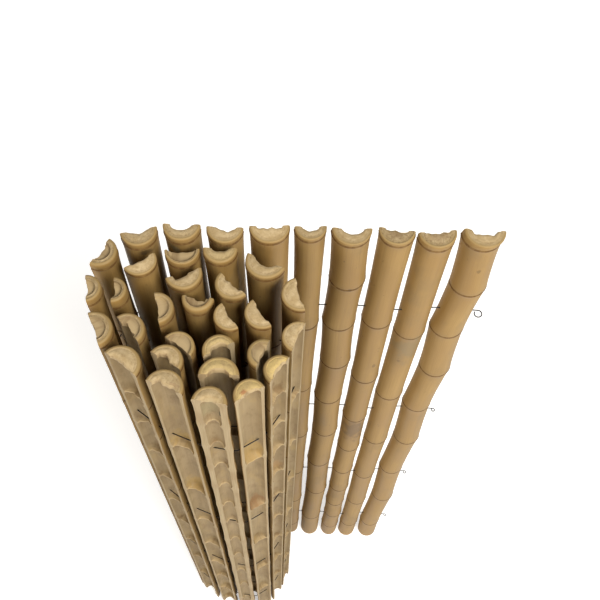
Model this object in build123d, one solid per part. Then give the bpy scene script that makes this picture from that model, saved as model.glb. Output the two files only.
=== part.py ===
from build123d import *
from math import cos, pi, radians, sin, sqrt, tan
from typing import NamedTuple
from numpy import interp
import os

# Half-round bamboo fence, standing on end and partly rolled up. Millimetres, +Z up.
# Split canes sit side by side on tie wires that pass through holes drilled in them.
# The mat is laid out as it is threaded: along the wires, cane after cane, from the free
# end to the heart of the roll, with a turn in each gap. The split sides face outwards.

# Canes
CANE_LENGTH = 1800.0      # longest cane
LENGTH_SPREAD = 8.0       # the shortest cane falls this much short at the top
WALL = 6.5                # thickness of most culm walls between nodes
DIAPHRAGM = 4.0           # thickness of the half-disc left across each node
SHOULDER = 2.5            # the wall is this much thicker where it meets a diaphragm
SHOULDER_HEIGHT = 10.0    # it thickens over this height
END_CHAMBER = 400.0       # chamber that the saw cut through, past the last node
SOLID_CAP = 12.0          # a top sawn no further than this above a node shows no chamber
RIDGE = 1.0               # a node's ridge stands this far out of the skin
RIDGE_HALF_HEIGHT = 7.0   # from the ridge's edge to its foot
LOWEST_NODE = 45.0        # no node is nearer than this to the lower end
NODE_TO_WIRE = 14.0       # no node is nearer than this to a wire

# Mat
GAP = 2.8                 # clear width between the widest places of two neighbours
BEND_CLEARANCE = 1.2      # neighbours come no nearer than this in a sharp turn
FREE_END_HEADING = 173.0  # degrees from +X, direction of the mat at its free end

# Tie wires
WIRE_ROWS = 4
WIRE_DIAMETER = 1.8
HOLE_CLEARANCE = 0.5      # between the wire and its hole, all round
WIRE_DEPTH = 9.0          # from the split faces in to the wire
EYE_RADIUS = 3.0          # eye at the free end of a wire
TOP_EYE_RADIUS = 6.0      # the larger eye of the topmost wire
EYE_SWEEP = 300.0         # degrees of a circle that an eye is bent round
HOOK_STEM = 1.0           # straight end past the last cane
HOOK_RADIUS = 2.5         # bend of the hook that follows it
HOOK_SWEEP = 120.0        # degrees of a circle that the hook is bent round
OVERRUN = 1.0             # a hole's tool runs this far past the surfaces that it opens


class Cane(NamedTuple):
    """What sets one cane apart from the next."""
    width: float          # across the split side, between nodes
    turn: float           # degrees that the mat turns left in the gap before it
    first_node: float     # from the top end
    internode: float      # from the first node to the second
    growth: float         # each further internode over the one above it
    sway: float = 0.0     # its nodes swing this far to either side
    slack: float = 0.0    # spare wire beside it
    breach: float = 0.0   # radius of the hole broken through its top diaphragm
    wall: float = WALL    # thickness of its wall between nodes


CANES = [
    # free end, backs to the viewer
    Cane(57, 0, 12, 133, 1.12, sway=3.5, breach=9),
    Cane(53, 9, 12, 288, 0.98, sway=0.8),
    Cane(50, -12, 8, 260, 0.915, sway=0.8),
    Cane(55, 6, 8, 126, 1.125, sway=1.8, breach=12),
    Cane(44, 2, 8, 280, 1.00, sway=0.8, slack=1, breach=8),
    # far side of the roll
    Cane(55, 1, 7, 255, 1.00, slack=2),
    Cane(50, -4, 10, 215, 1.05, slack=7),
    Cane(51, 1, 12, 235, 1.00, breach=9),
    Cane(50, 15, 12, 265, 0.97, slack=5),
    # left side
    Cane(46, 46, 14, 205, 1.06, slack=5, breach=9, wall=9),
    Cane(40, 37, 15, 240, 1.00, slack=13, wall=8),
    Cane(50, 15, 14, 190, 1.08, wall=9),
    Cane(53, 31, 10, 120, 1.08, slack=7),
    # near side, split faces to the viewer
    Cane(49, 15, 10, 255, 0.95, slack=11, wall=5),
    Cane(45, 13, 10, 85, 1.10, wall=10),
    Cane(42, 40, 8, 280, 1.02, slack=1, wall=5),
    Cane(43, 25, 10, 100, 1.12, slack=1, wall=5),
    Cane(44, 11, 7, 225, 1.03, slack=1, wall=5),
    Cane(50, 38, 7, 260, 1.00, slack=11),
    # second turn
    Cane(55, 50, 11, 210, 1.05, slack=13, breach=14),
    Cane(46, 24, 12, 250, 0.97, breach=12),
    Cane(47, 4, 13, 230, 1.04, wall=4),
    Cane(46, 29, 7, 275, 0.96, slack=10),
    Cane(38, 56, 20, 190, 1.06, slack=4, breach=6),
    Cane(46, 43, 15, 220, 1.05, slack=15),
    Cane(45, 17, 12, 200, 1.07, slack=18, breach=10),
    Cane(51, 31, 12, 240, 1.00, slack=15, breach=15),
    Cane(41, 67, 14, 210, 1.06, slack=13),
    # heart of the roll
    Cane(46, 57, 7, 245, 1.02),
    Cane(48, 14, 12, 215, 1.05, slack=14),
    Cane(49, 63, 11, 230, 1.03, slack=16, breach=9),
    Cane(45, 82, 14, 260, 0.97, slack=15),
    Cane(43, 41, 14, 205, 1.06, slack=4, wall=4.5),
    Cane(43, 65, 12, 220, 1.04, slack=4, breach=12),
    Cane(43, 94, 7, 250, 1.00, slack=4),
    Cane(42, 52, 15, 210, 1.05, breach=7),
]


def cane_length(index):
    """Sawn lengths differ a little: a spread that never falls into step along the mat."""
    golden_share = (sqrt(5) - 1) / 2
    return CANE_LENGTH - LENGTH_SPREAD * (index * golden_share % 1)


def wire_heights():
    """Evenly spaced rows, with half a space below the first and above the last."""
    return [CANE_LENGTH * (row + 0.5) / WIRE_ROWS for row in range(WIRE_ROWS)]


def clear_of_wires(height):
    """A node that would meet a wire moves up or down to clear it."""
    for wire in wire_heights():
        if abs(height - wire) < NODE_TO_WIRE:
            return wire + NODE_TO_WIRE if height >= wire else wire - NODE_TO_WIRE
    return height


def node_heights(cane, length):
    """Heights of a cane's nodes, lowest first."""
    heights = []
    height = length - cane.first_node
    internode = cane.internode
    while height > LOWEST_NODE:
        heights.insert(0, clear_of_wires(height))
        height -= internode
        internode *= cane.growth
    return heights


def half_reach(cane):
    """From a cane's middle to its widest place."""
    return cane.width / 2 + RIDGE + cane.sway


def half_run(cane):
    """Straight wire that a cane takes up, from its middle to the middle of the gap."""
    return half_reach(cane) + (GAP + cane.slack) / 2


def bend_room(before, after):
    """Spare wire in a gap, so that the two canes still clear each other in a sharp turn."""
    half_turn = radians(after.turn) / 2
    needed = half_reach(before) + half_reach(after) + BEND_CLEARANCE
    along_wire = (needed - 2 * WIRE_DEPTH * sin(half_turn)) / cos(half_turn)
    return max(0.0, along_wire - half_run(before) - half_run(after))


def unit(heading):
    return Vector(cos(radians(heading)), sin(radians(heading)))


class Layout(NamedTuple):
    headings: list        # direction of the wire through each cane
    middles: list         # middle of the wire in each cane
    corners: list         # middles of the gaps, one more than there are canes


def lay_out(canes):
    """Walks along the wire from the free end and notes where each cane sits on it."""
    heading = FREE_END_HEADING
    corner = Vector(0, 0)
    layout = Layout([], [], [corner])
    rooms = [0.0] + [bend_room(a, b) for a, b in zip(canes, canes[1:])] + [0.0]
    for cane, room_before, room_after in zip(canes, rooms, rooms[1:]):
        heading += cane.turn
        middle = corner + unit(heading) * (half_run(cane) + room_before / 2)
        corner = middle + unit(heading) * (half_run(cane) + room_after / 2)
        layout.headings.append(heading)
        layout.middles.append(middle)
        layout.corners.append(corner)
    return layout


class Section(NamedTuple):
    shift: float          # of the axis, sideways
    radius: float
    height: float


def outline(section, turn):
    """Edge of a section: a circle, or half of one with its chord along X."""
    shift, radius, height = section
    arc = CenterArc((shift, 0, height), radius, 0, turn).edges()
    if turn == 360:
        return Wire(arc)
    return Wire([*arc, Edge.make_line(arc[0] @ 1, arc[0] @ 0)])


def round_bar(sections, turn):
    """Bar through its sections, whole (360) or half (180): turned if straight, else lofted."""
    if any(section.shift for section in sections):
        return Solid.make_loft([outline(section, turn) for section in sections], ruled=True)
    rim = [(section.radius, 0, section.height) for section in sections]
    foot, head = (0, 0, sections[0].height), (0, 0, sections[-1].height)
    return revolve(make_face(Polyline(foot, *rim, head, close=True)), Axis.Z, turn).solid()


def chamber(section, bore, low, high):
    """Round space between two nodes, narrower where it meets their diaphragms."""
    floor = low + DIAPHRAGM / 2
    ceiling = high - DIAPHRAGM / 2
    return round_bar(
        [
            section(bore - SHOULDER, floor),
            section(bore, floor + SHOULDER_HEIGHT),
            section(bore, ceiling - SHOULDER_HEIGHT),
            section(bore - SHOULDER, ceiling),
        ],
        360,
    )


def half_cane(cane, length):
    """One split cane in its own frame: split along X, back towards +Y, foot at the origin."""
    radius = cane.width / 2
    nodes = node_heights(cane, length)

    # the axis swings from side to side, node by node, within the split plane
    axis_heights = [0, *nodes, length]
    axis_shifts = [0, *(cane.sway * (-1) ** number for number in range(len(nodes))), 0]

    def section(section_radius, height):
        return Section(interp(height, axis_heights, axis_shifts), section_radius, height)

    # the skin is straight between nodes and rises to a ridge at each
    skin_heights, skin_radii = [0], [radius]
    for node in nodes:
        skin_heights += [node - RIDGE_HALF_HEIGHT, node, node + RIDGE_HALF_HEIGHT]
        skin_radii += [radius, radius + RIDGE, radius]
    stations = [height for height in skin_heights if height < length] + [length]
    body = round_bar([section(interp(z, skin_heights, skin_radii), z) for z in stations], 180)

    # chambers between the diaphragms, the lowest and most of the highest sawn open
    bore = radius - cane.wall
    ends = [nodes[0] - END_CHAMBER, *nodes]
    if cane.first_node > SOLID_CAP:
        ends.append(nodes[-1] + END_CHAMBER)
    hollows = [chamber(section, bore, low, high) for low, high in zip(ends, ends[1:])]
    if cane.breach:
        low, high = nodes[-1] - DIAPHRAGM, length + OVERRUN
        hollows.append(round_bar([section(cane.breach, low), section(cane.breach, high)], 360))

    # wire holes through both walls
    reach = half_reach(cane) + OVERRUN
    holes = [
        Solid.make_cylinder(
            WIRE_DIAMETER / 2 + HOLE_CLEARANCE,
            2 * reach,
            Plane((-reach, WIRE_DEPTH, wire), z_dir=(1, 0, 0)),
        )
        for wire in wire_heights()
    ]
    return body.cut(*hollows, *holes)


def place_cane(solid, middle, heading):
    """Sets a cane on its stretch of wire, with its split face on the right-hand side."""
    foot = middle + unit(heading - 90) * WIRE_DEPTH
    return solid.moved(Location((foot.X, foot.Y, 0), (0, 0, heading)))


def bend_reach(cane):
    """Wire that is free to bend between a cane's wall and the middle of the gap."""
    radius = cane.width / 2
    skin = sqrt(radius**2 - WIRE_DEPTH**2)
    return half_run(cane) - cane.sway - skin


def bend_radii(canes):
    """Largest arcs that fit in the gaps."""
    return [
        min(bend_reach(before), bend_reach(after)) / tan(abs(radians(after.turn)) / 2)
        for before, after in zip(canes, canes[1:])
    ]


def tie_wire(layout, height, eye_radius):
    """One wire: an eye, straight through every cane with a bend in each gap, and a hook."""
    level = Vector(0, 0, height)
    first, last = layout.headings[0], layout.headings[-1]
    start = layout.corners[0]
    end = layout.corners[-1] + unit(last) * HOOK_STEM
    runs = FilletPolyline(
        *[point + level for point in (start, *layout.corners[1:-1], end)],
        radius=bend_radii(CANES),
    )
    eye_centre = start + unit(first + 90) * eye_radius + level
    eye = CenterArc(eye_centre, eye_radius, first - 90 - EYE_SWEEP, EYE_SWEEP)
    hook_centre = end + unit(last + 90) * HOOK_RADIUS + level
    hook = CenterArc(hook_centre, HOOK_RADIUS, last - 90, HOOK_SWEEP)
    path = Wire([*eye.edges(), *runs.edges(), *hook.edges()])
    section = Plane(path @ 0, z_dir=path % 0) * Circle(WIRE_DIAMETER / 2)
    solid = sweep(section, path).solid()
    drawn = path.length * pi * WIRE_DIAMETER**2 / 4
    print(f"wire at {height:.0f}: length {path.length:.0f}, volume {solid.volume:.0f} of {drawn:.0f}")
    return solid


def build_nodes():
    """All pieces by name, standing on the floor round the middle of their common box."""
    layout = lay_out(CANES)
    nodes = {}
    for index, cane in enumerate(CANES):
        solid = half_cane(cane, cane_length(index))
        name = f"half_cane_{index + 1:02d}"
        nodes[name] = place_cane(solid, layout.middles[index], layout.headings[index])
    eye_radii = [EYE_RADIUS] * (WIRE_ROWS - 1) + [TOP_EYE_RADIUS]
    for row, height in enumerate(wire_heights()):
        nodes[f"tie_wire_{row + 1}"] = tie_wire(layout, height, eye_radii[row])
    boxes = [solid.bounding_box() for solid in nodes.values()]
    middle_x = (min(box.min.X for box in boxes) + max(box.max.X for box in boxes)) / 2
    middle_y = (min(box.min.Y for box in boxes) + max(box.max.Y for box in boxes)) / 2
    to_middle = Location((-middle_x, -middle_y, 0))
    return {name: solid.moved(to_middle) for name, solid in nodes.items()}


def main():
    os.makedirs("parts", exist_ok=True)
    print("bend radii", [round(radius, 1) for radius in bend_radii(CANES)])
    for name, solid in build_nodes().items():
        export_step(solid, f"parts/{name}.step")


main()
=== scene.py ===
import math
from typing import NamedTuple

import bmesh
import bpy
import numpy as np
from mathutils import Matrix, Vector


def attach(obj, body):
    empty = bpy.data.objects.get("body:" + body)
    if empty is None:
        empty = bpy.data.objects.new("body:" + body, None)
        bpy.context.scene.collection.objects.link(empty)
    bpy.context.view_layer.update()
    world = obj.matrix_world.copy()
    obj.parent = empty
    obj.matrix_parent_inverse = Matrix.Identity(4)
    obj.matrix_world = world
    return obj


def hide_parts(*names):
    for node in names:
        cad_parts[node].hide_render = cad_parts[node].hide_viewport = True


# Half-round bamboo fence, standing on end and partly rolled up. Metres, +Z up.
# Each half cane of the frame is replaced by a finer mesh that is worked out from it.

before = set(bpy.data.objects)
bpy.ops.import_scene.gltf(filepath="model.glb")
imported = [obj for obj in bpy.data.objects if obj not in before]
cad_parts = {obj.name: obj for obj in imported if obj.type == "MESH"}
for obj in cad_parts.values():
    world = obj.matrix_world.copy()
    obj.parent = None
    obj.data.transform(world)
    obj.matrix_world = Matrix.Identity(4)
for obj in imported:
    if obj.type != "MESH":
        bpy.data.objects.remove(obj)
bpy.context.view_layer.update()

MM = 0.001

# Canes, as in the frame
DIAPHRAGM = 4.0 * MM      # thickness of the half-disc across a node
SHOULDER = 2.5 * MM       # the wall is this much thicker at a diaphragm
SHOULDER_HEIGHT = 10 * MM
SOLID_CAP = 12.0 * MM     # a top no further than this above a node shows no chamber
RIDGE_SEEN = 0.9 * MM     # a level that stands out by more than this on each side is a node
WIRE_DEPTH = 9.0 * MM     # from a split face in to the wire
HOLE_RADIUS = 1.4 * MM
SNAP = 0.05 * MM          # two heights or places this close are the same

# Fineness of a cane's mesh
ARC_STEPS = 14            # across the back, between the wire holes
ROW_STEP = 30 * MM        # between rows far from a node
HOLE_SPACE = 3 * HOLE_RADIUS   # rows nearer than this to a wire give way to those of its holes
CAP_STEPS = [0.05, 0.14, 0.24, 0.34, 0.44, 0.54, 0.64, 0.74, 0.84, 0.93]   # skin to lip
EDGE_TURNS = [0, 22, 45, 68, 90]   # degrees round the worn edge of a top
SHARP_ANGLE = math.radians(42)

# Rows over a node, from below it: height of the skin row, height of the row in the trough,
# and how far that row has gone from the wall (0) to the lip of the diaphragm (1).
NODE_ROWS = [
    (-20 * MM, -20 * MM, 0.0),
    (-12 * MM, -12 * MM, 0.0),
    (-6 * MM, -5.5 * MM, 0.0),
    (-4 * MM, -3.2 * MM, 0.07),
    (-2.8 * MM, -2.4 * MM, 0.22),
    (-1.8 * MM, -2.1 * MM, 0.60),
    (-1.1 * MM, -1.9 * MM, 0.97),
    (-0.5 * MM, -1.3 * MM, 1.0),
]
NODE_ROWS += [(-skin, -trough, share) for skin, trough, share in reversed(NODE_ROWS)]

# Skin near a node: how far it stands out, how high over the node, and how widely
SWELLS = [
    (0.55 * MM, 0.0, 14 * MM),            # soft bulge
    (0.45 * MM, -1.2 * MM, 1.7 * MM),     # ring
    (-0.50 * MM, 1.4 * MM, 1.2 * MM),     # groove
    (0.30 * MM, 9 * MM, 3 * MM),          # upper ring
]

# Wear and unevenness
BEVEL = 0.6 * MM          # worn edges
FOOT_WEAR = 0.5 * BEVEL   # the skin is this much slimmer at the foot
WAIST = 0.8 * MM          # a cane is this much slimmer halfway between nodes
SPARE_INTERNODE = 150 * MM     # from an end of a cane to a node that was sawn off
LUMPS = 0.25 * MM         # unevenness of the skin
LUMP_WAVES = [260 * MM, 120 * MM, 70 * MM]
LUMP_SQUEEZE = 3          # lumps are this many times shorter round a cane than along it
RIM_WAVE = 0.9 * MM       # the split edges wander in by up to this
FAR_RIM_WAVES = [170 * MM, 60 * MM, 33 * MM]
NEAR_RIM_WAVES = [150 * MM, 70 * MM, 29 * MM]
RIM_SHARE = 0.15          # the points of a rim lie this share of its width from its corners
SHOULDER_POWER = 1.5      # how suddenly the shoulder thickens
BORE_FLARE = 0.35         # a sawn bore opens by this share of the worn edge
LIP_ROUNDING = 0.4        # at a solid top's lip the rows climb by this share of the worn edge
LIP_WEAR = 0.5            # and draw back by this share of it
LIP_BEND = 1.1            # a top bends down to its lip within this many widths of the worn edge

# Lips of diaphragms, with places as shares of the radius
LIP_FIT = 0.985           # a lip reaches this share of the way to the wall
LIP_WAVE = 0.7 * MM       # a lip wanders by up to this to each side
LIP_WAVES = [24 * MM, 13 * MM]
RAGGED_WAVES = [26 * MM, 17 * MM, 11 * MM]
# how uneven the depth of each kind of lip is
RAGGED = {"bow": 0.15, "vee": 0.2, "broken": 1.0, "bite": 0.14, "notch": 0.06}
VEE_REACH = 0.6           # half the width of a vee
NOTCH_REACH = 0.62        # half the width of a notch
NOTCH_SLOPE = 0.12        # width of each of its sloping sides
BITE_REACH = 0.40         # half the width of a shallow bite
BITE_GROWTH = 0.5         # which grows by this share of its depth
BROKEN_POWER = 0.6        # how suddenly a broken lip starts at the wall
BOW_SPREAD = (0.5, 1.5)   # least and most depth of a lower lip, as shares of its cane's bow

# Sawn ends
WALL_SEAM = 0.76          # share of the radius where wall and diaphragm meet
SEAM_SPREAD = 0.04
SEAM_DEPTH = 0.35 * MM
SAW_MARKS = 0.12          # millimetres deep
CRUMB_DEPTH = 0.5         # millimetres more on the most crumbly top
SAW_WAVES = [16 * MM, 8 * MM, 5 * MM]

# Coordinates of the materials
TROUGH_SIDE = 0.2         # keeps the grain of the trough apart from that of the back
CANE_STEP = 0.7           # keeps the patterns of two canes apart
RIM_SIDES = [0.3, 0.7]    # from the back (0) to the trough (1)
RIM_ROUNDS = [1.5, 1.3]   # radii round the cane from its crest

# Camera, fitted to the tops, lower ends and wire eyes in the photograph
IMAGE_WIDTH = 600         # pixels, as is the focal length
FOCAL_PIXELS = 877
SENSOR_WIDTH = 36.0       # millimetres, as the camera's lens is given
CAMERA_PLACE = Vector((-60.9 * MM, -515.5 * MM, 2817.4 * MM))
CAMERA_YAW = math.radians(-5.67)     # anticlockwise from above
CAMERA_PITCH = math.radians(62.78)   # below the horizon
CAMERA_ROLL = math.radians(-3.01)    # clockwise

# Stage
FLOOR_HALF = 8.0          # half the width of the floor
FLOOR_GLOW = 0.5
SKY_COLOUR, SKY_STRENGTH = (1.0, 0.96, 0.90), 0.17
LAMP_SIZE = 2.4
LAMP_TARGET = Vector((0, 0, 1.2))
LAMPS = [
    # name, place, watts, colour
    ("key", (1.9, -2.6, 5.2), 310, (1.0, 0.97, 0.92)),
    ("fill", (-2.6, -3.2, 3.0), 85, (1.0, 0.93, 0.84)),
    ("back", (-2.2, 3.4, 3.2), 45, (1.0, 0.96, 0.90)),
]

# Colours, linear
SKIN_TAN, SKIN_PALE = (0.285, 0.168, 0.048), (0.35, 0.222, 0.076)
SKIN_STREAK = (0.245, 0.155, 0.056)
SKIN_FIBRE = (0.23, 0.135, 0.044)
SKIN_GRIME = (0.20, 0.135, 0.058)
SKIN_NODE, NODE_LINE = (0.27, 0.175, 0.07), (0.11, 0.054, 0.015)
SKIN_SPECK = (0.13, 0.08, 0.03)
SKIN_WORN = (0.345, 0.245, 0.105)
TROUGH_TAN, TROUGH_PALE = (0.27, 0.195, 0.10), (0.36, 0.27, 0.148)
TROUGH_FIBRE = (0.225, 0.158, 0.082)
MOTTLE_WARM, MOTTLE_DARK = (0.39, 0.275, 0.115), (0.19, 0.135, 0.07)
# painted highlight: the diaphragm shelves are painted paler, as if lit from above
SHELF_PAINTED_LIGHT = (0.45, 0.335, 0.18)
TROUGH_DIRT = (0.17, 0.10, 0.042)
RIM_TAN, RIM_PALE = (0.30, 0.222, 0.118), (0.375, 0.29, 0.168)
RIM_CLOUD = (0.26, 0.175, 0.085)
END_TAN, END_PALE = (0.385, 0.28, 0.14), (0.50, 0.385, 0.22)
END_WALL = (0.315, 0.22, 0.098)
END_YELLOW = (0.44, 0.32, 0.095)
END_DOT = (0.27, 0.17, 0.075)
END_CRUMB = (0.19, 0.12, 0.055)
END_SEAM = (0.26, 0.17, 0.08)
WIRE_DARK, WIRE_RUST = (0.020, 0.019, 0.018), (0.050, 0.027, 0.015)


class Look(NamedTuple):
    """What the photograph shows of one cane."""
    tone: float = 1.0         # brightness of its skin
    cap: float = 1.0          # brightness of its sawn top
    lip: str = "bow"          # edge of its top diaphragm: bow, vee, broken, bite or notch
    bite: float = 0.05        # how deep that edge is set back, as a share of the radius
    aside: float = 0.0        # how far the break lies to one side, as a share of the radius
    edge: float = 2.5         # millimetres that the outer edge of the top is worn round
    dome: float = 0.5         # millimetres that the top rises from that edge to its middle
    recess: float = 6.0       # millimetres from the top down to a diaphragm below it
    crumbs: float = 0.35      # how crumbly the top is
    yellow: float = 0.0       # how yellow the top is
    bow: float = 0.15         # how deep the edges of the lower diaphragms are set back


LOOKS = [
    # free end
    Look(1.00, 1.02, "notch", 0.22, 0.02),
    Look(1.00, 0.90, "broken", 0.06, crumbs=1.0),
    Look(0.98, 0.86, "broken", 0.08, crumbs=1.0),
    Look(0.98, 0.96, "bite", 0.30, -0.05),
    Look(0.94, 0.92, "bite", 0.26),
    # far side of the roll
    Look(1.02, 1.12, "broken", 0.10, dome=1.0),
    Look(1.00, 1.02, "vee", 0.26, -0.12, dome=1.0),
    Look(1.00, 0.94, "bite", 0.30, 0.05, crumbs=0.6),
    Look(0.98, 0.90, "vee", 0.20, 0.0, crumbs=0.6),
    # left side
    Look(0.92, 0.86, "bow", 0.08, edge=3.5, recess=5.0, crumbs=1.0),
    Look(0.92, 0.86, "bow", 0.05, edge=3.0, recess=5.0, crumbs=0.6),
    Look(0.92, 0.90, edge=3.5, recess=4.5, crumbs=0.5),
    Look(0.96, 1.00, edge=4.5, dome=3.0, bow=0.25),
    # near side
    Look(0.98, 0.92, "broken", 0.16, edge=3.5, dome=1.5, crumbs=0.5, bow=0.22),
    Look(1.00, 1.02, edge=4.5, dome=4.0, bow=0.40),
    Look(1.00, 1.08, edge=3.5, dome=2.5, yellow=0.7, bow=0.03),
    Look(1.02, 1.22, edge=4.5, dome=3.0, yellow=0.8, bow=0.25),
    Look(1.02, 1.06, edge=3.0, dome=2.0),
    Look(1.00, 1.08, edge=3.0, dome=1.5),
    # second turn
    Look(1.00, 0.96, "bite", 0.26, edge=3.5, dome=2.0),
    Look(1.00, 0.94, "bite", 0.18, edge=3.5, dome=2.0, yellow=0.3),
    Look(1.00, 0.96, "bow", 0.10, edge=1.8, recess=5.0, crumbs=0.9),
    Look(1.02, 1.10, edge=2.5, dome=1.5),
    Look(0.94, 0.86, "bite", 0.12, 0.2, edge=3.5, recess=6.0, crumbs=0.5),
    Look(0.96, 0.94, "broken", 0.14, edge=3.5, recess=4.5, crumbs=0.5),
    Look(0.98, 1.00, "bite", 0.22, -0.25, edge=4.0, dome=2.0),
    Look(1.00, 1.02, "bite", 0.22, edge=4.0, dome=3.5, yellow=0.6),
    Look(0.96, 0.94, edge=4.0, recess=4.5, yellow=0.4),
    # heart of the roll
    Look(1.00, 1.06, edge=3.0, dome=1.5),
    Look(1.00, 1.06, "broken", 0.06, edge=4.0, dome=1.5),
    Look(1.00, 0.96, "bite", 0.22, 0.3, edge=3.5, dome=1.0, crumbs=0.5),
    Look(0.98, 1.00, edge=3.5, recess=4.5),
    Look(0.98, 0.98, edge=2.5, recess=4.0, yellow=0.4),
    Look(1.00, 1.00, "bite", 0.28, edge=4.0, dome=2.5, yellow=0.5),
    Look(1.02, 1.06, edge=3.0, dome=1.5),
    Look(1.00, 0.96, "bite", 0.20, -0.3, edge=4.0, recess=5.0, crumbs=0.5),
]


class Mark(NamedTuple):
    """A stain: on the back or in the trough at a height, or on the top."""
    cane: int
    across: float         # metres round the cane, or share of the radius on a top
    along: float          # height in metres, or share of the radius on a top
    width: float          # from its middle to its edge, in the same units
    length: float
    colour: tuple
    strength: float = 0.7


SKIN_MARKS = [
    Mark(2, 0.006, 1.455, 0.040, 0.060, (0.205, 0.148, 0.068)),
    Mark(3, 0.004, 1.015, 0.034, 0.066, (0.13, 0.078, 0.034)),
    Mark(3, 0.012, 1.37, 0.004, 0.008, (0.10, 0.055, 0.018), 0.5),
    Mark(2, -0.010, 1.40, 0.005, 0.009, (0.11, 0.062, 0.02), 0.5),
    Mark(1, 0.004, 1.73, 0.004, 0.007, (0.13, 0.072, 0.022), 0.6),
    Mark(4, 0.004, 1.66, 0.004, 0.005, (0.09, 0.048, 0.014), 0.6),
    Mark(8, -0.012, 1.770, 0.010, 0.010, (0.12, 0.10, 0.05)),
    Mark(9, 0.004, 1.768, 0.014, 0.009, (0.07, 0.045, 0.02)),
]
TROUGH_MARKS = [
    Mark(14, 0.0, 1.556, 0.050, 0.030, (0.40, 0.27, 0.09), 0.55),
    Mark(14, 0.004, 1.512, 0.030, 0.026, (0.15, 0.09, 0.036), 0.6),
    Mark(14, 0.0, 1.312, 0.044, 0.036, (0.38, 0.25, 0.08), 0.6),
    Mark(15, 0.004, 1.752, 0.020, 0.040, (0.30, 0.265, 0.145), 0.4),
    Mark(15, -0.010, 1.728, 0.003, 0.016, (0.06, 0.05, 0.025), 0.9),
    Mark(16, 0.0, 1.537, 0.050, 0.038, (0.42, 0.275, 0.085), 0.5),
    Mark(16, 0.0, 1.240, 0.034, 0.026, (0.25, 0.115, 0.045), 0.5),
    Mark(13, 0.0, 1.470, 0.024, 0.030, (0.22, 0.165, 0.085), 0.5),
    Mark(17, 0.0, 1.330, 0.024, 0.030, (0.36, 0.215, 0.09), 0.6),
    Mark(17, 0.0, 1.120, 0.024, 0.040, (0.14, 0.09, 0.045), 0.6),
]
TOP_MARKS = [
    Mark(16, -0.30, 0.26, 0.24, 0.22, (0.27, 0.105, 0.045), 0.75),
    Mark(10, 0.05, 0.20, 0.45, 0.35, (0.20, 0.125, 0.06), 0.8),
    Mark(3, 0.0, 0.35, 0.5, 0.4, (0.24, 0.155, 0.075), 0.6),
    Mark(2, 0.0, 0.35, 0.6, 0.4, (0.30, 0.20, 0.105), 0.5),
    Mark(14, 0.45, 0.25, 0.35, 0.3, (0.30, 0.20, 0.11), 0.5),
    Mark(36, -0.5, 0.5, 0.4, 0.35, (0.40, 0.22, 0.07), 0.6),
]
MARK_CORE, MARK_EDGE = 0.35, 1.05   # a stain is full within the first and gone at the second
MARK_FRAY = 0.45                    # its edge wanders by this
CANE_FOCUS = 4.0                    # keeps a stain on its own cane


# What the frame says of a cane

class Cane(NamedTuple):
    foot: np.ndarray      # middle of the split face at the lower end, in plan
    along: np.ndarray     # unit vector along the split
    inward: np.ndarray    # unit vector from the split to the crest of the back
    radius: float
    bore: float
    length: float
    nodes: np.ndarray     # heights, lowest first
    axis_heights: list    # heights where the axis changes its lean
    axis_shifts: list     # place of the axis there, along the split

    def lean(self, heights):
        """Place of the axis along the split."""
        return np.interp(heights, self.axis_heights, self.axis_shifts)


def mesh_points(node):
    """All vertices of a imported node."""
    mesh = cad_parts[node].data
    points = np.empty(len(mesh.vertices) * 3)
    mesh.vertices.foreach_get("co", points)
    return points.reshape(-1, 3)


def read_cane(node):
    """Finds a cane's own axes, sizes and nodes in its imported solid."""
    points = mesh_points(node)
    plan = points[:, :2]
    foot_rim = np.unique(plan[points[:, 2] < SNAP].round(6), axis=0)
    spans = np.linalg.norm(foot_rim[:, None] - foot_rim[None], axis=2)
    one, other = np.unravel_index(spans.argmax(), spans.shape)
    foot = (foot_rim[one] + foot_rim[other]) / 2
    along = (foot_rim[other] - foot_rim[one]) / spans[one, other]
    inward = np.array([-along[1], along[0]])
    if ((foot_rim - foot) @ inward).mean() < 0:
        along, inward = -along, -inward
    radius = spans[one, other] / 2

    x, y, z = (plan - foot) @ along, (plan - foot) @ inward, points[:, 2]
    on_split = np.abs(y) < SNAP
    foot_x = np.abs(x[on_split & (z < SNAP)])
    bore = foot_x[foot_x < radius - MM].max()
    nodes, axis_heights, axis_shifts = [], [], []
    for height in np.unique(z[on_split].round(5)):
        level = x[on_split & (np.abs(z - height) < SNAP)]
        half_width = (level.max() - level.min()) / 2
        if half_width > radius - SNAP:
            axis_heights.append(height)
            axis_shifts.append((level.max() + level.min()) / 2)
        if half_width > radius + RIDGE_SEEN:
            nodes.append(height)
    return Cane(
        foot, along, inward, radius, bore, z.max(), np.array(nodes), axis_heights, axis_shifts
    )


def wire_heights():
    """Heights of the tie wires, lowest first."""
    wires = sorted(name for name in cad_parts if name.startswith("tie_wire"))
    levels = [mesh_points(wire)[:, 2] for wire in wires]
    return [(level.min() + level.max()) / 2 for level in levels]


WIRES = wire_heights()


# Rows of a cane

class Row(NamedTuple):
    skin: float           # height on the back
    trough: float         # height in the trough
    share: float          # from the wall (0) to the lip of a diaphragm (1)
    node: int             # nearest node
    gap: float            # height over that node, on the back
    hole: bool = False    # a middle row of a wire hole
    inset: float = 0.0    # the skin is this much slimmer
    crown: float = 0.0    # share of the top's rise that the lip follows


def wall_row(cane, z, hole=False):
    """A row between diaphragms."""
    nearest = int(np.argmin(np.abs(cane.nodes - z)))
    return Row(z, z, 0.0, nearest, z - cane.nodes[nearest], hole)


def plain_rows(cane, low, high):
    """Evenly spaced rows between two heights."""
    count = max(1, math.ceil((high - low) / ROW_STEP))
    return [wall_row(cane, z) for z in np.linspace(low, high, count + 1)[1:-1]]


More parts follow.
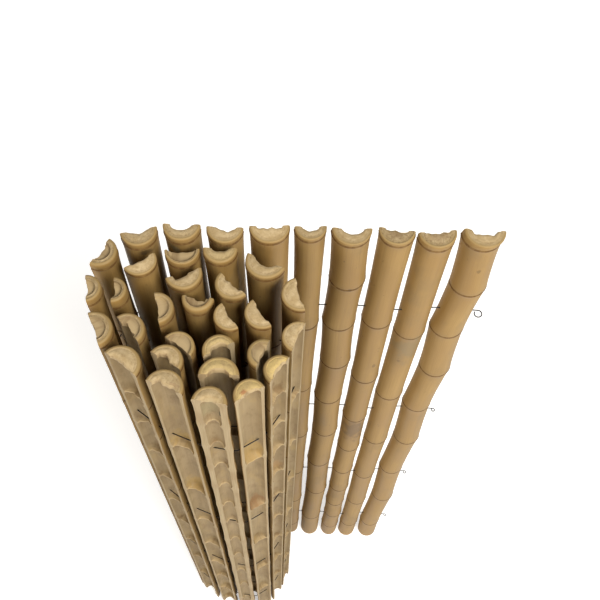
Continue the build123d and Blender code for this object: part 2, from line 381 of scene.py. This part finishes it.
def drilled(cane, rows):
    """The rows with three at each wire, where its holes are opened."""
    for wire in WIRES:
        rows = [row for row in rows if abs(row.skin - wire) > HOLE_SPACE]
        rows += [wall_row(cane, wire + step * HOLE_RADIUS, step == 0) for step in (-1, 0, 1)]
    return sorted(rows, key=lambda row: row.skin)


def cane_rows(cane, look):
    """All rows of a cane, from its foot to its top."""
    edge, rim = look.edge * MM, cane.length - look.dome * MM
    rows = [wall_row(cane, 0.0)]
    for number, node in enumerate(cane.nodes):
        rows += plain_rows(cane, rows[-1].skin, node + NODE_ROWS[0][0])
        for skin, trough, share in NODE_ROWS:
            if rows[-1].skin < node + skin < rim - edge - BEVEL:
                rows.append(Row(node + skin, node + trough, share, number, skin))

    # over the last node the sawn end either runs through the thick of the diaphragm
    # or leaves a shallow recess
    last_number, last = len(cane.nodes) - 1, cane.nodes[-1]
    head = rim - last
    solid = cane.length - last < SOLID_CAP + SNAP
    lift = max(0.0, head - look.recess * MM)
    for place, row in enumerate(rows):
        if row.node == last_number and row.gap > 0:
            if solid:
                rows[place] = row._replace(share=1.0, trough=last + max(row.gap, MM))
            else:
                raised = last + lift + (row.trough - last) * (1 - lift / head)
                rows[place] = row._replace(trough=raised)
    for turn in EDGE_TURNS:
        up, out = math.sin(math.radians(turn)), math.cos(math.radians(turn))
        z = rim - edge * (1 - up)
        rows.append(Row(
            skin=z,
            trough=rim - edge * (1 - LIP_ROUNDING * up) if solid else z,
            share=float(solid),
            node=last_number,
            gap=z - last,
            inset=edge * (1 - out),
            crown=up * solid,
        ))
    return drilled(cane, rows)


# Points of a cane, in its own plan. Each row is a loop of points: across the back, over the
# near rim, back through the trough and over the far rim.

COLUMNS = ARC_STEPS + 9   # points across the back, and as many across the trough
LOOP = 2 * COLUMNS + 4    # with two points on each rim
HOLE_COLUMNS = (3, COLUMNS - 4)   # middle columns of the two wire holes in the back


def opposite(column):
    """The point of the trough behind a point of the back."""
    return 2 * COLUMNS + 1 - column


# and those of the trough too
HOLE_PLACES = (*HOLE_COLUMNS, *(opposite(column) for column in HOLE_COLUMNS))
HOLE_STEPS = [(-1, -1), (-1, 0), (-1, 1), (0, 1), (1, 1), (1, 0), (1, -1), (0, -1)]   # up, aside


def arc_angles(radius):
    """Angles across the half round, with three columns at the wire hole on each side."""
    first = math.asin(BEVEL / radius)
    hole = [math.asin((WIRE_DEPTH + step * HOLE_RADIUS) / radius) for step in (-1, 0, 1)]
    side = [first, (first + hole[0]) / 2, *hole]
    middle = np.linspace(hole[-1], math.pi - hole[-1], ARC_STEPS + 1)[1:-1]
    return np.array([*side, *middle, *(math.pi - angle for angle in reversed(side))])


def waves(rng, lengths, *places):
    """Smooth unevenness between about -1 and 1: a few waves with chance headings and phases."""
    total = 0.0
    for length in lengths:
        heading = rng.normal(size=len(places))
        heading /= np.linalg.norm(heading)
        phase = rng.uniform(0, 2 * math.pi)
        along = sum(h * p for h, p in zip(heading, places))
        total = total + np.sin(along * 2 * math.pi / length + phase)
    return total / len(lengths)


def skin_swell(gap):
    """How far the skin stands out near a node."""
    return sum(out * np.exp(-((gap - height) / spread) ** 2) for out, height, spread in SWELLS)


def set_back(look, angles, aside):
    """How far a lip is set back along its length, as a share of its deepest place."""
    if look.lip == "vee":
        return np.clip(1 - np.abs(aside) / VEE_REACH, 0, 1)
    if look.lip == "broken":
        return np.sin(angles) ** BROKEN_POWER
    if look.lip == "bite":
        reach = BITE_REACH + BITE_GROWTH * look.bite
        return np.sqrt(np.clip(1 - (aside / reach) ** 2, 0, 1))
    if look.lip == "notch":
        return np.clip((NOTCH_REACH - np.abs(aside)) / NOTCH_SLOPE, 0, 1)
    return np.sin(angles)


def lip_curve(cane, angles, look, rng):
    """Edge of a diaphragm: along the split, and how far in from it."""
    bore = cane.bore - SHOULDER
    x = LIP_FIT * bore * np.cos(angles)
    y = BEVEL + LIP_WAVE * (1 + waves(rng, LIP_WAVES, x)) * np.sin(angles)
    ragged = 1 + RAGGED[look.lip] * waves(rng, RAGGED_WAVES, x)
    aside = x / cane.radius - look.aside
    y += cane.radius * look.bite * set_back(look, angles, aside) * ragged
    # the lip stays inside the wall that it grows from
    limit = np.sqrt(np.clip((bore - MM) ** 2 - x**2, 0, None))
    return x, np.minimum(y, np.maximum(limit, BEVEL))


def crown(cane, look, x, y):
    """How far a sawn top stands over its rim at a place."""
    reach = np.hypot(x, y) / (cane.radius - look.edge * MM)
    return look.dome * MM * np.clip(1 - reach**2, 0, 1)


def end_relief(cane, look, x, y, rng):
    """Unevenness of a sawn end, always into the cane."""
    reach = np.hypot(x, y) / cane.radius
    seam = SEAM_DEPTH * np.exp(-((reach - WALL_SEAM) / SEAM_SPREAD) ** 2)
    saw = (SAW_MARKS + CRUMB_DEPTH * look.crumbs) * MM * (1 + waves(rng, SAW_WAVES, x, y))
    return -(seam + saw)


def values(rows, field):
    """One value of each row, as a column."""
    return np.array([[getattr(row, field)] for row in rows])


def back_points(cane, rows, angles, rng):
    """Back of a cane: swollen at its nodes, slimmer between them, and uneven."""
    skin = values(rows, "skin")
    stops = np.array([-SPARE_INTERNODE, *cane.nodes, cane.length + SPARE_INTERNODE])
    above = np.searchsorted(cane.nodes, skin) + 1
    along_internode = (skin - stops[above - 1]) / (stops[above] - stops[above - 1])
    swell = skin_swell(values(rows, "gap")) - WAIST * np.sin(math.pi * along_internode)
    swell[0] -= FOOT_WEAR
    swell -= values(rows, "inset")
    places = np.broadcast_arrays(skin, LUMP_SQUEEZE * cane.radius * angles)
    reach = cane.radius + swell + LUMPS * waves(rng, LUMP_WAVES, *places)
    x = cane.lean(skin) + reach * np.cos(angles)
    y = np.maximum(reach * np.sin(angles), BEVEL)
    return np.stack([x, y, places[0]], axis=2)


def trough_points(cane, look, rows, angles, rng):
    """Trough of a cane with its diaphragms."""
    trough, share, inset = (values(rows, field) for field in ("trough", "share", "inset"))
    nearest = [row.node for row in rows]
    from_node = np.abs(trough - cane.nodes[nearest][:, None]) - DIAPHRAGM / 2
    thickened = np.clip(1 - from_node / SHOULDER_HEIGHT, 0, 1)
    bore = cane.bore - SHOULDER * thickened**SHOULDER_POWER + BORE_FLARE * inset
    wall_x, wall_y = bore * np.cos(angles), bore * np.sin(angles)

    depths = rng.uniform(*BOW_SPREAD, len(cane.nodes) - 1)
    lower = [look._replace(lip="bow", bite=look.bow * depth) for depth in depths]
    lips = np.array([lip_curve(cane, angles, shape, rng) for shape in [*lower, look]])
    lip_x, lip_y = lips[nearest, 0], lips[nearest, 1]
    lean = cane.lean(trough)
    x = lean + wall_x + (lip_x - wall_x) * share
    y = wall_y + (lip_y - wall_y) * share + LIP_WEAR * inset * share * np.sin(angles)
    z = trough + crown(cane, look, x - lean, y) * values(rows, "crown")
    return np.stack([x, y, z], axis=2)


def rim_points(back, trough, edge, middle):
    """Two points on a split face, between the corner of the back and that of the trough."""
    near_back = back[:, 0] * (1 - RIM_SHARE) + trough[:, 0] * RIM_SHARE
    near_trough = back[:, 0] * RIM_SHARE + trough[:, 0] * (1 - RIM_SHARE)
    return [
        np.column_stack([near_back, edge, back[:, 2]])[:, None],
        np.column_stack([near_trough, edge, middle])[:, None],
    ]


def cane_points(cane, look, rows, rng):
    """The loops of all rows."""
    skin, trough = values(rows, "skin")[:, 0], values(rows, "trough")[:, 0]
    back = back_points(cane, rows, arc_angles(cane.radius), rng)
    inside = trough_points(cane, look, rows, arc_angles(cane.bore), rng)
    far_edge = RIM_WAVE * (1 + waves(rng, FAR_RIM_WAVES, skin)) / 2
    near_edge = RIM_WAVE * (1 + waves(rng, NEAR_RIM_WAVES, skin)) / 2
    middle = (skin + trough) / 2
    far_rim = rim_points(back[:, 0], inside[:, 0], far_edge, middle)
    near_rim = rim_points(back[:, -1], inside[:, -1], near_edge, middle)
    return np.concatenate([back, *near_rim, inside[:, ::-1], *reversed(far_rim)], axis=1)


def round_holes(points, hole_rows):
    """Draws in the corners of the squares at the wire holes."""
    corner = HOLE_RADIUS / math.sqrt(2)
    for row in hole_rows:
        for column in HOLE_PLACES:
            _, middle_y, middle_z = points[row, column]
            for up, aside in HOLE_STEPS:
                if up and aside:
                    point = points[row + up, column + aside]
                    point[1] = middle_y + np.sign(point[1] - middle_y) * corner
                    point[2] = middle_z + up * corner


# Mesh of a cane

SKIN, TROUGH, RIM, END = range(4)   # surfaces, in the order of the materials


class Shell:
    """Mesh of a cane as it grows: vertices with their values, and faces with their surfaces."""

    def __init__(self, cane, rows, points):
        self.vertices = [tuple(point) for point in points.reshape(-1, 3)]
        self.faces, self.surfaces = [], []
        # height from the nearest node
        self.gaps = list(np.repeat(np.abs(values(rows, "gap")), LOOP))
        # from the wall (0) to the lip of a diaphragm (1)
        depths = np.repeat(values(rows, "share"), LOOP, axis=1)
        depths[:, :COLUMNS] = 0
        self.depths = list(depths.reshape(-1))
        # from the back (0) to the trough (1)
        sides = [*np.zeros(COLUMNS), *RIM_SIDES, *np.ones(COLUMNS), *reversed(RIM_SIDES)]
        self.sides = sides * len(rows)
        # place round the cane
        over_rim = [cane.radius * turns for turns in RIM_ROUNDS]
        rounds = [
            *cane.radius * (arc_angles(cane.radius) - math.pi / 2),
            *over_rim,
            *cane.bore * (arc_angles(cane.bore)[::-1] - math.pi / 2),
            *(-place for place in reversed(over_rim)),
        ]
        self.rounds = rounds * len(rows)

    def face(self, corners, surface):
        self.faces.append(corners)
        self.surfaces.append(surface)

    def end_vertex(self, point, outside):
        """Adds a vertex of a sawn end, in line with a vertex of the back."""
        self.vertices.append(tuple(point))
        self.gaps.append(self.gaps[outside])
        self.depths.append(1.0)
        self.sides.append(0.5)
        self.rounds.append(self.rounds[outside])
        return len(self.vertices) - 1


def surface_at(column):
    """Surface of the faces between a column and the next."""
    if column < COLUMNS - 1:
        return SKIN
    return TROUGH if COLUMNS + 2 <= column < 2 * COLUMNS + 1 else RIM


def add_walls(shell, row_count, hole_rows):
    """Faces between the rows, open at the wire holes, and the walls of those holes."""
    opened = {
        (row + up, column + aside)
        for row in hole_rows for column in HOLE_PLACES
        for up in (-1, 0) for aside in (-1, 0)
    }
    for row in range(row_count - 1):
        for column in range(LOOP):
            if (row, column) not in opened:
                low, high, right = row * LOOP, (row + 1) * LOOP, (column + 1) % LOOP
                corners = (low + column, low + right, high + right, high + column)
                shell.face(corners, surface_at(column))
    for row in hole_rows:
        for column in HOLE_COLUMNS:
            outside = [(row + up) * LOOP + column + aside for up, aside in HOLE_STEPS]
            inside = [(row + up) * LOOP + opposite(column) - aside for up, aside in HOLE_STEPS]
            for number in range(len(HOLE_STEPS)):
                after = (number + 1) % len(HOLE_STEPS)
                corners = (outside[number], outside[after], inside[after], inside[number])
                shell.face(corners, TROUGH)


def end_point(cane, look, row, back, lip, step, relief_seed):
    """Point of a sawn end, a share of the way from the back to the lip."""
    point = back + (lip - back) * step
    lean = cane.lean(row.skin)
    x, y = point[0] - lean, point[1]
    relief = end_relief(cane, look, x, y, np.random.default_rng(relief_seed))
    if row.skin == 0:   # the foot
        point[2] -= relief
        return point
    # level from the rim inwards, then rounded down to the lip
    rise = crown(cane, look, x, y) * row.crown
    drop = back[2] - (lip[2] - crown(cane, look, lip[0] - lean, lip[1]) * row.crown)
    from_lip = (1 - step) * np.hypot(*(lip - back)[:2])
    level = np.clip(from_lip / (LIP_BEND * look.edge * MM), 0, 1)
    point[2] = back[2] + rise - drop * (1 - level) ** 2 + relief
    return point


def add_end(shell, cane, look, row, start, seed):
    """Closes an end with strips from the back to the lip, and with corner pieces at the rims."""
    back_line = [start + column for column in range(COLUMNS)]
    lip_line = [start + opposite(column) for column in range(COLUMNS)]
    lines = [back_line]
    for step in CAP_STEPS:
        lines.append([])
        for outside, inside in zip(back_line, lip_line):
            back, lip = np.array(shell.vertices[outside]), np.array(shell.vertices[inside])
            point = end_point(cane, look, row, back, lip, step, seed)
            lines[-1].append(shell.end_vertex(point, outside))
    lines.append(lip_line)
    for one, other in zip(lines, lines[1:]):
        for column in range(COLUMNS - 1):
            shell.face((one[column], one[column + 1], other[column + 1], other[column]), END)
    near_rim = [start + COLUMNS - 1 + step for step in range(4)]
    far_rim = [start, start + LOOP - 1, start + LOOP - 2, start + LOOP - 3]
    for rim, column in ((near_rim, -1), (far_rim, 0)):
        beside = [line[column] for line in lines[1:-1]]
        shell.face((*rim, *reversed(beside)), END)


def build_cane(cane, look, seed):
    """The whole mesh of a cane, in its own plan."""
    rows = cane_rows(cane, look)
    hole_rows = [number for number, row in enumerate(rows) if row.hole]
    points = cane_points(cane, look, rows, np.random.default_rng(seed))
    round_holes(points, hole_rows)
    shell = Shell(cane, rows, points)
    add_walls(shell, len(rows), hole_rows)
    add_end(shell, cane, look, rows[0], 0, seed)
    add_end(shell, cane, look, rows[-1], (len(rows) - 1) * LOOP, seed)
    return shell


def add_attribute(mesh, name, numbers):
    """A number or a vector at each vertex, for the materials."""
    numbers = np.asarray(numbers, np.float32)
    kind, field = ("FLOAT", "value") if numbers.ndim == 1 else ("FLOAT_VECTOR", "vector")
    attribute = mesh.attributes.new(name, kind, "POINT")
    attribute.data.foreach_set(field, numbers.reshape(-1))


def make_cane(number, materials):
    """One dressed cane, in the place of its solid."""
    node = f"half_cane_{number + 1:02d}"
    cane, look = read_cane(node), LOOKS[number]
    shell = build_cane(cane, look, number)
    local = np.array(shell.vertices)
    height = local[:, 2]
    plan = cane.foot + local[:, :1] * cane.along + local[:, 1:2] * cane.inward
    mesh = bpy.data.meshes.new(f"bamboo_cane_{number + 1:02d}")
    mesh.from_pydata([tuple(place) for place in np.column_stack([plan, height])], [], shell.faces)
    for material in materials:
        mesh.materials.append(material)
    mesh.polygons.foreach_set("material_index", shell.surfaces)
    mesh.polygons.foreach_set("use_smooth", [True] * len(shell.faces))

    side = np.array(shell.sides) * TROUGH_SIDE + number * CANE_STEP
    own_place = np.full(len(local), number * CANE_STEP)
    worn_from = cane.length - (look.dome + look.edge) * MM
    add_attribute(mesh, "grain", np.column_stack([shell.rounds, height, side]))
    add_attribute(mesh, "node_gap", shell.gaps)
    # the shelf share is also the mask of the painted highlight on the diaphragms
    add_attribute(mesh, "shelf", shell.depths)
    add_attribute(mesh, "worn", np.clip((height - worn_from) / (look.edge * MM), 0, 1))
    add_attribute(mesh, "tone", [look.tone] * len(local))
    add_attribute(mesh, "top", [(look.cap, look.crumbs, look.yellow)] * len(local))
    add_attribute(mesh, "section", np.column_stack([local[:, :2] / cane.radius, own_place]))

    solid = bmesh.new()
    solid.from_mesh(mesh)
    bmesh.ops.recalc_face_normals(solid, faces=solid.faces)
    solid.to_mesh(mesh)
    solid.free()
    mesh.set_sharp_from_angle(angle=SHARP_ANGLE)
    piece = bpy.data.objects.new(mesh.name, mesh)
    bpy.context.scene.collection.objects.link(piece)
    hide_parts(node)
    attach(piece, "root")


# Materials

class Nodes:
    """Short names for making shader nodes in one material."""

    def __init__(self, name):
        self.material = bpy.data.materials.new(name)
        self.material.use_nodes = True
        self.tree = self.material.node_tree
        self.shader = self.tree.nodes["Principled BSDF"]

    def link(self, output, target):
        self.tree.links.new(output, target)

    def attribute(self, name, output="Fac"):
        node = self.tree.nodes.new("ShaderNodeAttribute")
        node.attribute_name = name
        return node.outputs[output]

    def vector(self, operation, vector, other=(0, 0, 0), output="Vector"):
        node = self.tree.nodes.new("ShaderNodeVectorMath")
        node.operation = operation
        node.inputs[1].default_value = other
        self.link(vector, node.inputs[0])
        return node.outputs[output]

    def noise(self, vector, scale, detail=4.0, roughness=0.55):
        node = self.tree.nodes.new("ShaderNodeTexNoise")
        node.inputs["Scale"].default_value = 1.0
        node.inputs["Detail"].default_value = detail
        node.inputs["Roughness"].default_value = roughness
        self.link(self.vector("MULTIPLY", vector, scale), node.inputs["Vector"])
        return node.outputs["Fac"]

    def dots(self, vector, scale):
        node = self.tree.nodes.new("ShaderNodeTexVoronoi")
        node.inputs["Scale"].default_value = 1.0
        self.link(self.vector("MULTIPLY", vector, scale), node.inputs["Vector"])
        return node.outputs["Distance"]

    def ramp(self, value, low, high, start=0.0, end=1.0):
        """Maps low..high to start..end, held at both ends."""
        node = self.tree.nodes.new("ShaderNodeMapRange")
        node.interpolation_type = "SMOOTHSTEP"
        node.inputs["From Min"].default_value = low
        node.inputs["From Max"].default_value = high
        node.inputs["To Min"].default_value = start
        node.inputs["To Max"].default_value = end
        self.link(value, node.inputs["Value"])
        return node.outputs["Result"]

    def math(self, operation, one, other=0.0):
        node = self.tree.nodes.new("ShaderNodeMath")
        node.operation = operation
        for value, socket in ((one, node.inputs[0]), (other, node.inputs[1])):
            if isinstance(value, (int, float)):
                socket.default_value = value
            else:
                self.link(value, socket)
        return node.outputs["Value"]

    def mix(self, share, one, other, blend="MIX"):
        node = self.tree.nodes.new("ShaderNodeMix")
        node.data_type = "RGBA"
        node.blend_type = blend
        if isinstance(share, (int, float)):
            node.inputs["Factor"].default_value = share
        else:
            self.link(share, node.inputs["Factor"])
        for colour, socket in ((one, node.inputs["A"]), (other, node.inputs["B"])):
            if isinstance(colour, tuple):
                socket.default_value = (*colour, 1.0)
            else:
                self.link(colour, socket)
        return node.outputs["Result"]

    def tint(self, colour, shade, value, low, high, start, end):
        """Lays a shade over a colour, as strongly as a value's ramp says."""
        return self.mix(self.ramp(value, low, high, start, end), colour, shade)

    def marked(self, colour, marks, place, fray, side=0.0):
        """Lays stains with uneven edges over a colour."""
        frayed = self.noise(place, fray, 3)
        for mark in marks:
            middle = (mark.across, mark.along, (mark.cane - 1) * CANE_STEP + side)
            scale = (1 / mark.width, 1 / mark.length, CANE_FOCUS)
            away = self.vector("MULTIPLY", self.vector("SUBTRACT", place, middle), scale)
            reach = self.vector("LENGTH", away, output="Value")
            uneven = self.ramp(frayed, 0.2, 0.8, -MARK_FRAY, MARK_FRAY)
            frayed_reach = self.math("ADD", reach, uneven)
            colour = self.tint(
                colour, mark.colour, frayed_reach, MARK_CORE, MARK_EDGE, mark.strength, 0.0
            )
        return colour

    def parts(self, vector):
        node = self.tree.nodes.new("ShaderNodeSeparateXYZ")
        self.link(vector, node.inputs[0])
        return node.outputs

    def toned(self, colour, tone):
        """Brightens or darkens the base colour."""
        shade = self.tree.nodes.new("ShaderNodeCombineColor")
        for socket in shade.inputs[:3]:
            self.link(tone, socket)
        toned = self.mix(1.0, colour, shade.outputs["Color"], "MULTIPLY")
        self.link(toned, self.shader.inputs["Base Color"])

    def dull(self, roughness, specular):
        """The same dullness all over."""
        self.shader.inputs["Roughness"].default_value = roughness
        self.shader.inputs["Specular IOR Level"].default_value = specular

    def bump(self, height, distance, strength):
        node = self.tree.nodes.new("ShaderNodeBump")
        node.inputs["Distance"].default_value = distance
        node.inputs["Strength"].default_value = strength
        self.link(height, node.inputs["Height"])
        self.link(node.outputs["Normal"], self.shader.inputs["Normal"])


def skin_material():
    """Dry, tan bamboo skin: fine lengthwise fibres, cloudy patches, a dark line at each node."""
    nodes = Nodes("bamboo_skin")
    grain = nodes.attribute("grain", "Vector")
    fibres = nodes.noise(grain, (700, 9, 1), 5)
    clouds = nodes.noise(grain, (22, 5, 1), 4)
    streaks = nodes.noise(grain, (130, 3, 1), 3)
    grime = nodes.noise(grain, (16, 7, 1), 5, 0.65)
    specks = nodes.noise(grain, (160, 60, 1), 2)
    gap = nodes.attribute("node_gap")
    colour = nodes.mix(nodes.ramp(clouds, 0.3, 0.7), SKIN_TAN, SKIN_PALE)
    colour = nodes.tint(colour, SKIN_STREAK, streaks, 0.5, 0.75, 0, 0.45)
    colour = nodes.tint(colour, SKIN_FIBRE, fibres, 0.35, 0.75, 0, 0.4)
    colour = nodes.tint(colour, SKIN_GRIME, grime, 0.5, 0.72, 0, 0.45)
    colour = nodes.tint(colour, SKIN_NODE, gap, 2 * MM, 20 * MM, 0.3, 0)
    at_node = nodes.ramp(gap, 0.8 * MM, 3 * MM, 0.9, 0)
    line = nodes.math("MULTIPLY", at_node, nodes.ramp(streaks, 0.3, 0.6, 0.55, 1))
    colour = nodes.mix(line, colour, NODE_LINE)
    colour = nodes.tint(colour, SKIN_SPECK, specks, 0.70, 0.78, 0, 0.6)
    colour = nodes.marked(colour, SKIN_MARKS, grain, (60, 40, 1))
    colour = nodes.tint(colour, SKIN_WORN, nodes.attribute("worn"), 0.1, 0.9, 0, 0.7)
    nodes.toned(colour, nodes.attribute("tone"))
    nodes.link(nodes.ramp(clouds, 0.3, 0.7, 0.52, 0.66), nodes.shader.inputs["Roughness"])
    nodes.shader.inputs["Specular IOR Level"].default_value = 0.25
    nodes.bump(fibres, 0.4 * MM, 0.35)
    return nodes.material


def trough_material():
    """Inside of the culm: grey-beige, with long fibres, brown stains, and the diaphragm shelves
    painted paler as painted light falling on them from above.
    """
    nodes = Nodes("bamboo_trough")
    grain = nodes.attribute("grain", "Vector")
    fibres = nodes.noise(grain, (420, 6, 1), 5)
    clouds = nodes.noise(grain, (30, 9, 1), 4)
    mottles = nodes.noise(grain, (34, 13, 1), 5, 0.65)
    blots = nodes.noise(grain, (70, 30, 1), 4)
    gap = nodes.attribute("node_gap")
    colour = nodes.mix(nodes.ramp(clouds, 0.3, 0.7), TROUGH_TAN, TROUGH_PALE)
    colour = nodes.tint(colour, TROUGH_FIBRE, fibres, 0.4, 0.8, 0, 0.45)
    colour = nodes.tint(colour, MOTTLE_WARM, mottles, 0.52, 0.68, 0, 0.5)
    colour = nodes.tint(colour, MOTTLE_DARK, mottles, 0.46, 0.32, 0, 0.5)
    # painted highlight: the diaphragms are made paler towards their lips, standing in for light
    # from above
    colour = nodes.tint(colour, SHELF_PAINTED_LIGHT, nodes.attribute("shelf"), 0.05, 0.6, 0, 0.8)
    near_node = nodes.ramp(gap, 4 * MM, 50 * MM, 0.6, 0.28)
    dirt = nodes.math("MULTIPLY", nodes.ramp(blots, 0.5, 0.7), near_node)
    colour = nodes.mix(dirt, colour, TROUGH_DIRT)
    colour = nodes.marked(colour, TROUGH_MARKS, grain, (70, 50, 1), TROUGH_SIDE)
    nodes.toned(colour, nodes.attribute("tone"))
    nodes.dull(0.75, 0.2)
    nodes.bump(fibres, 0.5 * MM, 0.4)
    return nodes.material


def rim_material():
    """Split faces of the wall: pale, straight fibres."""
    nodes = Nodes("bamboo_split_edge")
    grain = nodes.attribute("grain", "Vector")
    fibres = nodes.noise(grain, (900, 10, 1), 4)
    clouds = nodes.noise(grain, (40, 12, 1), 4)
    colour = nodes.mix(nodes.ramp(fibres, 0.3, 0.7), RIM_TAN, RIM_PALE)
    colour = nodes.tint(colour, RIM_CLOUD, clouds, 0.45, 0.7, 0, 0.6)
    nodes.toned(colour, nodes.attribute("tone"))
    nodes.dull(0.75, 0.2)
    nodes.bump(fibres, 0.5 * MM, 0.5)
    return nodes.material


def end_material():
    """Sawn ends: pale, with dots of cut fibres, a darker wall, crumbs, a seam and stains."""
    nodes = Nodes("bamboo_sawn_end")
    section = nodes.attribute("section", "Vector")
    brightness, crumbly, yellowed = nodes.parts(nodes.attribute("top", "Vector"))
    dots = nodes.dots(section, (26, 26, 1))
    clouds = nodes.noise(section, (3, 3, 1), 5)
    crumbs = nodes.noise(section, (9, 9, 1), 5, 0.7)
    x, y, _ = nodes.parts(section)
    squares = nodes.math("ADD", nodes.math("MULTIPLY", x, x), nodes.math("MULTIPLY", y, y))
    reach = nodes.math("SQRT", squares)
    colour = nodes.mix(nodes.ramp(clouds, 0.3, 0.7), END_TAN, END_PALE)
    colour = nodes.tint(colour, END_WALL, reach, 0.66, 0.98, 0, 0.65)
    yellow = nodes.math("MULTIPLY", yellowed, nodes.ramp(clouds, 0.35, 0.6, 0.35, 0.8))
    colour = nodes.mix(yellow, colour, END_YELLOW)
    colour = nodes.tint(colour, END_DOT, dots, 0.12, 0.3, 0.4, 0)
    dark = nodes.math("MULTIPLY", crumbly, nodes.ramp(crumbs, 0.50, 0.66, 0, 0.8))
    colour = nodes.mix(dark, colour, END_CRUMB)
    off_seam = nodes.math("ABSOLUTE", nodes.math("SUBTRACT", reach, WALL_SEAM))
    at_seam = nodes.ramp(off_seam, 0.01, 0.05, 0.5, 0)
    seam = nodes.math("MULTIPLY", at_seam, nodes.ramp(crumbs, 0.4, 0.6))
    colour = nodes.mix(seam, colour, END_SEAM)
    colour = nodes.marked(colour, TOP_MARKS, section, (5, 5, 1))
    nodes.toned(colour, brightness)
    nodes.dull(0.78, 0.2)
    nodes.bump(crumbs, 1.2 * MM, 0.5)
    return nodes.material


def wire_material():
    """Dull, dark tie wire with a little rust."""
    nodes = Nodes("dark_tie_wire")
    nodes.shader.inputs["Metallic"].default_value = 0.85
    place = nodes.tree.nodes.new("ShaderNodeTexCoord").outputs["Object"]
    rust = nodes.noise(place, (90, 90, 90), 3)
    colour = nodes.mix(nodes.ramp(rust, 0.5, 0.65, 0, 0.7), WIRE_DARK, WIRE_RUST)
    nodes.link(colour, nodes.shader.inputs["Base Color"])
    nodes.link(nodes.ramp(rust, 0.4, 0.65, 0.42, 0.65), nodes.shader.inputs["Roughness"])
    return nodes.material


def dress_wires():
    """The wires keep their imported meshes."""
    material = wire_material()
    for name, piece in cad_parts.items():
        if name.startswith("tie_wire"):
            piece.data.materials.clear()
            piece.data.materials.append(material)


# Stage

def make_floor():
    """Pale floor that glows a little, like a photographer's light table."""
    mesh = bpy.data.meshes.new("floor")
    corners = [(-1, -1), (1, -1), (1, 1), (-1, 1)]
    places = [(FLOOR_HALF * x, FLOOR_HALF * y, 0) for x, y in corners]
    mesh.from_pydata(places, [], [(0, 1, 2, 3)])
    floor = bpy.data.objects.new("floor", mesh)
    bpy.context.scene.collection.objects.link(floor)
    material = bpy.data.materials.new("pale_floor")
    material.use_nodes = True
    shader = material.node_tree.nodes["Principled BSDF"]
    shader.inputs["Base Color"].default_value = (0.92, 0.92, 0.92, 1)
    shader.inputs["Roughness"].default_value = 0.9
    shader.inputs["Specular IOR Level"].default_value = 0.1
    shader.inputs["Emission Color"].default_value = (1, 1, 1, 1)
    shader.inputs["Emission Strength"].default_value = FLOOR_GLOW
    mesh.materials.append(material)


def add_lamp(name, place, power, colour):
    """A soft round lamp, aimed at the upper part of the fence."""
    light = bpy.data.lights.new(name, "AREA")
    light.shape = "DISK"
    light.size = LAMP_SIZE
    light.energy = power
    light.color = colour
    place = Vector(place)
    turn = (LAMP_TARGET - place).to_track_quat("-Z", "Y").to_matrix().to_4x4()
    lamp = bpy.data.objects.new(name, light)
    lamp.matrix_world = Matrix.Translation(place) @ turn
    bpy.context.scene.collection.objects.link(lamp)


def light_scene():
    """A large soft lamp to the right of the camera, weaker ones to its left and behind the
    fence, and even light all round."""
    world = bpy.data.worlds.new("studio")
    world.use_nodes = True
    background = world.node_tree.nodes["Background"]
    background.inputs["Color"].default_value = (*SKY_COLOUR, 1)
    background.inputs["Strength"].default_value = SKY_STRENGTH
    bpy.context.scene.world = world
    for lamp in LAMPS:
        add_lamp(*lamp)
    bpy.context.scene.view_settings.view_transform = "Standard"


def make_camera():
    """Camera of the photograph: turned and rolled a little, looking down over the near canes."""
    right = Vector((math.cos(CAMERA_YAW), math.sin(CAMERA_YAW), 0))
    ahead = Vector((-math.sin(CAMERA_YAW), math.cos(CAMERA_YAW), 0))
    forward = ahead * math.cos(CAMERA_PITCH) - Vector((0, 0, math.sin(CAMERA_PITCH)))
    up = right.cross(forward)
    rolled_right = right * math.cos(CAMERA_ROLL) - up * math.sin(CAMERA_ROLL)
    rolled_up = up * math.cos(CAMERA_ROLL) + right * math.sin(CAMERA_ROLL)
    data = bpy.data.cameras.new("camera")
    data.sensor_width = SENSOR_WIDTH
    data.lens = SENSOR_WIDTH * FOCAL_PIXELS / IMAGE_WIDTH
    camera = bpy.data.objects.new("camera", data)
    turn = Matrix((rolled_right, rolled_up, -forward)).transposed().to_4x4()
    camera.matrix_world = Matrix.Translation(CAMERA_PLACE) @ turn
    bpy.context.scene.collection.objects.link(camera)
    bpy.context.scene.camera = camera


def main():
    materials = [skin_material(), trough_material(), rim_material(), end_material()]
    for number in range(len(LOOKS)):
        make_cane(number, materials)
    dress_wires()
    make_floor()
    light_scene()
    make_camera()


main()
